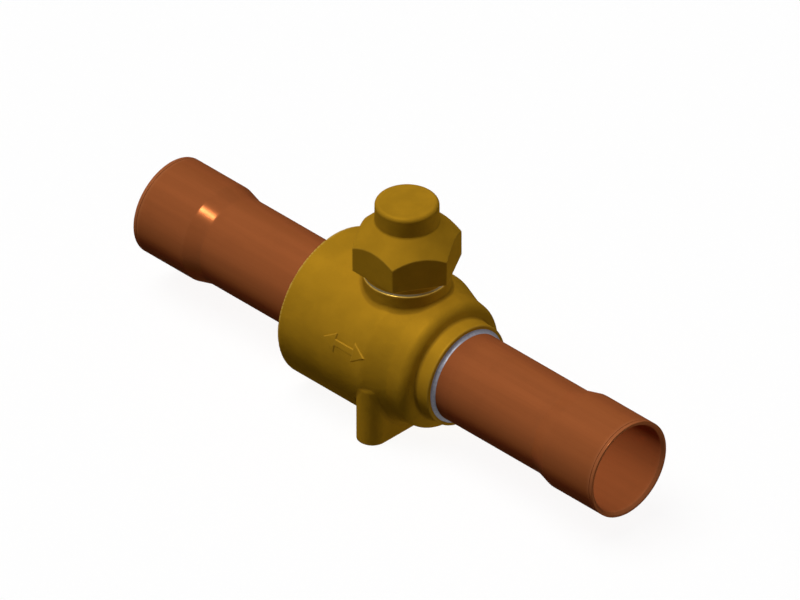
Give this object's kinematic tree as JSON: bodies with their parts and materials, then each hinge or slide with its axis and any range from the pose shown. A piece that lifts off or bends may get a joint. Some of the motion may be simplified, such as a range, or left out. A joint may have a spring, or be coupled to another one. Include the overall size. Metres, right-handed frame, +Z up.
{
  "type": "shut-off valve",
  "caption": "Straight ball shut-off valve with swaged solder sockets, a mounting foot and a hexagonal seal cap over its spindle.",
  "frame": {"origin": "on the mounting face at the underside of the body, straight below the centre of the ball, where the spindle axis meets that face", "axes": "+X along the flow axis towards the outlet tube on the shouldered side of the body, +Z up the spindle axis through the seal cap, +Y across the body along the mounting foot"},
  "size_m": [0.1943, 0.0486, 0.0747],
  "materials": {
    "forged_brass": "forged and tumbled brass",
    "turned_brass": "turned brass",
    "cap_brass": "turned and milled brass",
    "copper": "drawn copper tube, slightly dulled",
    "brazing_metal": "silver brazing metal",
    "seat_plastic": "white seat plastic",
    "seal_rubber": "black seal rubber",
    "turned_steel": "turned steel",
    "polished_ball": "plated and polished ball",
    "gasket_metal": "soft metal gasket"
  },
  "bodies": {
    "housing": {"valve_body": "forged_brass", "end_plug": "turned_brass", "end_plug_o_ring": "seal_rubber", "inlet_tube": "copper", "outlet_tube": "copper", "inlet_braze_fillet": "brazing_metal", "outlet_braze_fillet": "brazing_metal", "inlet_seat": "seat_plastic", "outlet_seat": "seat_plastic", "inlet_seat_o_ring": "seal_rubber", "outlet_seat_o_ring": "seal_rubber", "thrust_washer": "seat_plastic"},
    "spindle": {"stem": "turned_steel", "stem_o_ring_lower": "seal_rubber", "stem_o_ring_upper": "seal_rubber", "stop_plate": "turned_steel", "retaining_ring": "turned_steel"},
    "ball": {"ball": "polished_ball"},
    "gasket": {"cap_gasket": "gasket_metal"},
    "cap": {"seal_cap": "cap_brass"}
  },
  "joints": [
    {"name": "stem_turn", "type": "hinge", "parent": "housing", "child": "spindle", "pos_m": [0, 0, 0.0632], "axis": [0, 0, -1], "range_deg": [0, 90]},
    {"name": "ball_turn", "type": "hinge", "parent": "housing", "child": "ball", "pos_m": [0, 0, 0.0232], "axis": [0, 0, -1], "range_deg": [0, 90]},
    {"name": "cap_lift", "type": "slide", "parent": "housing", "child": "gasket", "axis": [0, 0, 1], "range_m": [0, 0.009]},
    {"name": "cap_turn", "type": "hinge", "parent": "gasket", "child": "cap", "pos_m": [0, 0, 0.06], "axis": [0, 0, 1], "range_deg": [0, 2160]}
  ],
  "couplings": [
    {"joint": "ball_turn", "follows": "stem_turn", "ratio": 1},
    {"joint": "cap_lift", "follows": "cap_turn", "m_per_rad": 0.00023873}
  ]
}
